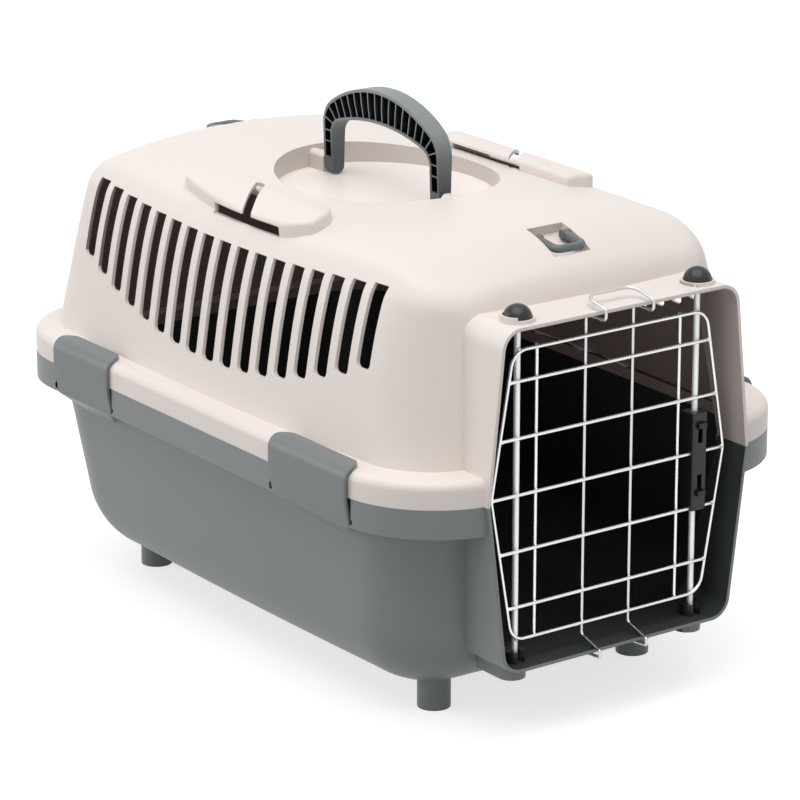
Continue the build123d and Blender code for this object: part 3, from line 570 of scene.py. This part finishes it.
rod = {
    "x": 70.5, "y": -222.0, "radius": 2.0, "sides": 28, "end": 1.2,
    "hinge": (43.0, 268.8), "upperLatch": (175.0, 266.6), "lowerLatch": (51.5, 136.2),
}

weld = {"size": (1.5, 1.15, 1.5), "inset": 1.3, "rows": 7, "sides": 12, "pole": 0.12}

spring = {
    "radius": 3.0, "wire": 0.3, "turns": 6, "flat": 0.8, "travel": 10.0,
    "turnPoints": 28, "sides": 12,
    "upper": (161.5, 175.0), "lower": (136.2, 153.0),
}


def doorSide(z):
    # Half the door's width at a height: widest at the middle, narrowing up and down.
    return door["halfWidth"] - door["lean"] * abs(z - door["middleZ"])


def crossLevels():
    middle = door["crossWires"] // 2
    return [door["middleZ"] + (middle - k) * door["pitch"] for k in range(door["crossWires"])]


def wirePiece(name, path, radius, node, body, closed=False, sides=wire["sides"], plating=None):
    rings = wireRings(path, radius, closed, sides)
    piece = surfacePiece(name, rings, "chrome_wire", closedRows=closed)
    if plating is not None:
        piece.data.materials[0] = plating
    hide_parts(node)
    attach(piece, body)


def makeDoorWires():
    y, low, high, mid = door["gridY"], door["lowZ"], door["highZ"], door["middleZ"]
    corners = [
        (-doorSide(mid), y, mid), (-doorSide(low), y, low), (doorSide(low), y, low),
        (doorSide(mid), y, mid), (doorSide(high), y, high), (-doorSide(high), y, high),
    ]
    path = bentPath(corners, [door["corner"]] * len(corners), closed=True)
    wirePiece("doorFrame", path, door["frameRadius"], "door_frame", "door", closed=True)
    for k, z in enumerate(crossLevels(), start=1):
        half = doorSide(z) - door["endInset"]
        path = straightPath((-half, y, z), (half, y, z))
        wirePiece("crossWire%d" % k, path, door["frameRadius"], "door_bar_%d" % k, "door")
    y, past = door["uprightY"], door["uprightPast"]
    for side, word in ((-1, "left"), (1, "right")):
        x = side * door["uprightX"]
        path = straightPath((x, y, low - past), (x, y, high + past))
        wirePiece("upright_" + word, path, door["uprightRadius"], "door_upright_" + word, "door")


def makeHookWire():
    x, y, tip = hook["x"], door["uprightY"], hook["tipY"]
    half = [
        (-x, hook["endY"], hook["endZ"]), (-x, tip, hook["tipLowZ"]),
        (-x, tip, hook["tipHighZ"]), (-x, y, hook["riseZ"]),
        (-x, y, hook["shoulderZ"]), (-x, tip, hook["shoulderZ"]),
        (-x, tip, hook["crestZ"]), (-x, hook["overY"], hook["overZ"]),
    ]
    corners = half + [(-px, py, pz) for px, py, pz in reversed(half)]
    path = bentPath(corners, hook["bends"] + hook["bends"][::-1], step=hook["step"])
    wirePiece("hookWire", path, door["uprightRadius"], "hook_wire", "door", plating=hookPlatingPaintedShade)


def makeRods():
    x, y, end = rod["x"], rod["y"], rod["end"]
    rods = [
        ("hingeRod", -x, rod["hinge"], "hinge_rod", "door"),
        ("latchRodUpper", x, rod["upperLatch"], "latch_rod_upper", "latch_up"),
        ("latchRodLower", x, rod["lowerLatch"], "latch_rod_lower", "latch_down"),
    ]
    for name, rodX, (low, high), node, body in rods:
        path = straightPath((rodX, y, low + end), (rodX, y, high - end))
        wirePiece(name, path, rod["radius"], node, body, sides=rod["sides"], plating=rodPlatingPaintedLight)


def makeWelds():
    # Small resistance-weld beads where two wires touch: flattened balls of the wire's own metal.
    levels = crossLevels()
    allLevels = levels + [door["lowZ"], door["highZ"]]
    xs = [-door["uprightX"], -hook["x"], hook["x"], door["uprightX"]]
    between = (door["gridY"] + door["uprightY"]) / 2
    spots = [(x, between, z) for x in xs for z in allLevels]
    spots += [(-rod["x"], door["gridY"] + door["frameRadius"], z) for z in allLevels]
    for z in levels:
        edge = doorSide(z) - weld["inset"]
        spots += [(-edge, door["gridY"], z), (edge, door["gridY"], z)]
    u = np.linspace(weld["pole"], math.pi - weld["pole"], weld["rows"])[:, None]
    v = np.linspace(0, 2 * math.pi, weld["sides"], endpoint=False)[None, :]
    ball = np.stack([np.sin(u) * np.cos(v), np.cos(u) + 0 * v, np.sin(u) * np.sin(v)], axis=-1)
    ball = ball * np.array(weld["size"])
    beads = surfacePiece("weldBeads", [ball + np.array(s) for s in spots], "chrome_wire")
    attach(beads, "door")


def makeSpring(name, span, node):
    # A compression coil: a helix whose first and last turn lie flat.
    low, high = span
    turns, r = spring["turns"], spring["wire"]
    t = np.linspace(0, turns, turns * spring["turnPoints"])
    rise = np.clip((t - spring["flat"]) / (turns - 2 * spring["flat"]), 0, 1)
    z = low + r + (high - low - 2 * r) * rise
    x = rod["x"] + spring["radius"] * np.cos(2 * math.pi * t)
    y = rod["y"] + spring["radius"] * np.sin(2 * math.pi * t)
    rings = wireRings(np.stack([x, y, z], axis=1), r, sides=spring["sides"])
    coil = surfacePiece(name, rings, "spring_steel")
    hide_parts(node)
    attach(coil, "door")
    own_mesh(coil)


makeDoorWires()
makeHookWire()
makeRods()
makeWelds()
makeSpring("springUpper", spring["upper"], "spring_upper")
makeSpring("springLower", spring["lower"], "spring_lower")
print("door wires made")

# The clips, in millimetres.
clip = {
    "rimX": 160.0, "skirtZ": 141.0, "rootZ": 145.2, "proud": 2.8, "kneeZ": 158.5,
    "topZ": 179.8, "topMargin": 1, "tipX": 147.5, "wall": 2.5, "tipCorner": 12.0,
    "hem": 2.0, "knee": 12.0, "fold": 8.8,      # bends, from the skirt up
    "apronDrop": 14.0, "apronX": 144.5, "apronEnd": 0.4, "leastRise": 0.05,
    "edge": 0.7,                                # rounding of the sheet's rims
    "over": 0.12,                               # how far the hem stands off the skirt
    "tipShare": (0.82, 0.45),                   # thickness left in the tip's last two rings
    "tipReach": (0.57, 0.9),                    # and how far out they lie
    "step": 0.7, "across": 25, "round": 5,
    "hinge": (144.6, 147.2),                    # heights of the sheet's hinge
    "front": (-129.8, 83.4), "rear": (135.6, 67.8),     # middle and length
}


def edgeRing():
    # A rounded oblong in unit terms: columns 0 and 1 follow the straight sides,
    # 2 and 3 the round edges.
    t = np.linspace(0, math.pi / 2, clip["round"])
    across = np.linspace(-1, 1, clip["across"])
    one, none = t * 0 + 1, across * 0
    parts = [
        np.stack([across, none + 1, none, none + 1], axis=1),
        np.stack([one, one, np.sin(t), np.cos(t)], axis=1)[1:-1],
        np.stack([one, -one, np.cos(t), -np.sin(t)], axis=1),
        np.stack([-across, none - 1, none, none - 1], axis=1)[1:],
        np.stack([-one, -one, -np.sin(t), -np.cos(t)], axis=1)[1:-1],
        np.stack([-one, one, -np.cos(t), np.sin(t)], axis=1)[:-1],
    ]
    return np.concatenate(parts)


def makeClip(side, place, node):
    # One sheet from the web under the skirt, up the outside, over the rim and in along its top.
    # Its profile runs in the end view. Its width narrows to the web's arch below
    # and to round corners at the tip.
    y, length = place
    over, drop, e = clip["over"], clip["apronDrop"], clip["edge"]
    outer = clip["rimX"] + clip["proud"]
    corners = [
        (clip["apronX"] + clip["apronEnd"], 0, clip["skirtZ"] - drop + clip["apronEnd"] - over),
        (clip["rimX"] + over, 0, clip["skirtZ"] - over),
        (clip["rimX"] + over, 0, clip["rootZ"]),
        (outer, 0, clip["kneeZ"]),
        (outer, 0, clip["topZ"]),
        (clip["tipX"] + e, 0, clip["topZ"]),
    ]
    bends = [0, clip["hem"], clip["knee"], clip["knee"], clip["fold"], 0]
    path = bentPath(corners, bends, step=clip["step"])
    tangent = np.gradient(path, axis=0)
    tangent /= np.linalg.norm(tangent, axis=1, keepdims=True)
    alongY = np.array([0.0, 1.0, 0.0])
    inward = np.cross(tangent, alongY)
    if inward[len(path) // 3][0] > 0:
        inward = -inward
    z, x = path[:, 2], path[:, 0]
    half = np.full(len(path), length / 2)
    arch = (drop ** 2 + (length / 2) ** 2) / (2 * drop)
    rise = np.clip(z - (clip["skirtZ"] - drop), clip["leastRise"], drop)
    half = np.minimum(half, np.sqrt(arch ** 2 - (arch - rise) ** 2))
    r = clip["tipCorner"]
    fromTip = np.clip(x - clip["tipX"], 0, r)
    atTop = z > clip["topZ"] - clip["topMargin"]
    half = np.where(atTop, half - r + np.sqrt(r ** 2 - (r - fromTip) ** 2), half)
    thick = np.full(len(path), clip["wall"] / 2)
    ring = edgeRing()[None]
    yPart = ring[..., 0] * (half[:, None] - e) + ring[..., 2] * e
    nPart = ring[..., 1] * (thick[:, None] - e) + ring[..., 3] * e
    centre = path + inward * thick[:, None]
    points = centre[:, None] - inward[:, None] * nPart[..., None] + alongY * yPart[..., None]
    share, reach = np.array(clip["tipShare"])[:, None], np.array(clip["tipReach"])[:, None]
    tipY = ring[..., 0] * (half[-1] - e) + ring[..., 2] * e * share
    tipN = ring[..., 1] * (thick[-1] - e) + ring[..., 3] * e * share
    tipCentre = centre[-1] + tangent[-1] * e * reach
    tip = tipCentre[:, None] - inward[-1] * tipN[..., None] + alongY * tipY[..., None]
    points = np.concatenate([points, tip])
    points[..., 0] *= side
    points[..., 1] += y
    piece = surfacePiece(node + "Sheet", points, "tub_plastic")
    piece.data.materials[0] = clipPlastic
    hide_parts(node)
    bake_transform(piece)


for side, word in ((-1, "left"), (1, "right")):
    makeClip(side, clip["front"], "clip_front_" + word)
    makeClip(side, clip["rear"], "clip_rear_" + word)
print("clips made")

room = {
    "half": 12.0,
    "paper": 0.5,
    "paperRough": 0.9,
    "paperGlow": 0.7,       # seen by camera and glossy rays only, so that the paper reads white
    "worldLight": 0.36,
    "aim": (0, 0, 0.15),    # where the lamps point
}

lamps = {
    "sideLamp": {"place": (-2.4, 2.0, 0.9), "size": (1.8, 1.4), "power": 21},
    "topLamp": {"place": (-0.5, -0.5, 3.0), "size": (3.2, 3.2), "power": 78},
}


def rayIs(tree, *kinds):
    # 1 for a ray of one of these kinds, 0 for any other.
    rays = addNode(tree, "ShaderNodeLightPath")
    seen = rays.outputs[kinds[0]]
    for kind in kinds[1:]:
        either = addNode(tree, "ShaderNodeMath", operation="MAXIMUM")
        tree.links.new(seen, either.inputs[0])
        tree.links.new(rays.outputs[kind], either.inputs[1])
        seen = either.outputs[0]
    return seen


def makeFloor():
    s = room["half"]
    floor = bpy.data.objects.new("floor", bpy.data.meshes.new("floor"))
    floor.data.from_pydata([(-s, -s, 0), (s, -s, 0), (s, s, 0), (-s, s, 0)], [], [(0, 1, 2, 3)])
    bpy.context.scene.collection.objects.link(floor)
    material, tree, shader = newMaterial("floorPaper")
    link = tree.links.new
    shader.inputs["Base Color"].default_value = (room["paper"],) * 3 + (1,)
    shader.inputs["Roughness"].default_value = room["paperRough"]
    seen = rayIs(tree, "Is Camera Ray", "Is Glossy Ray")
    glow = addNode(tree, "ShaderNodeEmission")
    link(mapRange(tree, seen, (0, 1), (0, room["paperGlow"])), glow.inputs["Strength"])
    both = addNode(tree, "ShaderNodeAddShader")
    link(shader.outputs[0], both.inputs[0])
    link(glow.outputs[0], both.inputs[1])
    out = next(n for n in tree.nodes if n.type == "OUTPUT_MATERIAL")
    link(both.outputs[0], out.inputs["Surface"])
    floor.data.materials.append(material)


def makeWorld():
    world = bpy.data.worlds.new("room")
    bpy.context.scene.world = world
    world.use_nodes = True
    tree = world.node_tree
    sky = tree.nodes["Background"]
    sky.inputs["Color"].default_value = (1, 1, 1, 1)
    seen = rayIs(tree, "Is Camera Ray", "Is Glossy Ray", "Is Transmission Ray")
    level = mapRange(tree, seen, (0, 1), (room["worldLight"], 1.0))
    tree.links.new(level, sky.inputs["Strength"])


def softLamp(name, place, size, power):
    data = bpy.data.lights.new(name, "AREA")
    data.shape = "RECTANGLE"
    data.size, data.size_y = size
    data.energy = power
    lamp = bpy.data.objects.new(name, data)
    lamp.location = place
    toward = Vector(place) - Vector(room["aim"])
    lamp.rotation_euler = toward.to_track_quat("Z", "Y").to_euler()
    bpy.context.scene.collection.objects.link(lamp)


makeFloor()
makeWorld()
for name, lamp in lamps.items():
    softLamp(name, **lamp)
print("room made")

bpy.context.scene.view_settings.view_transform = "Standard"
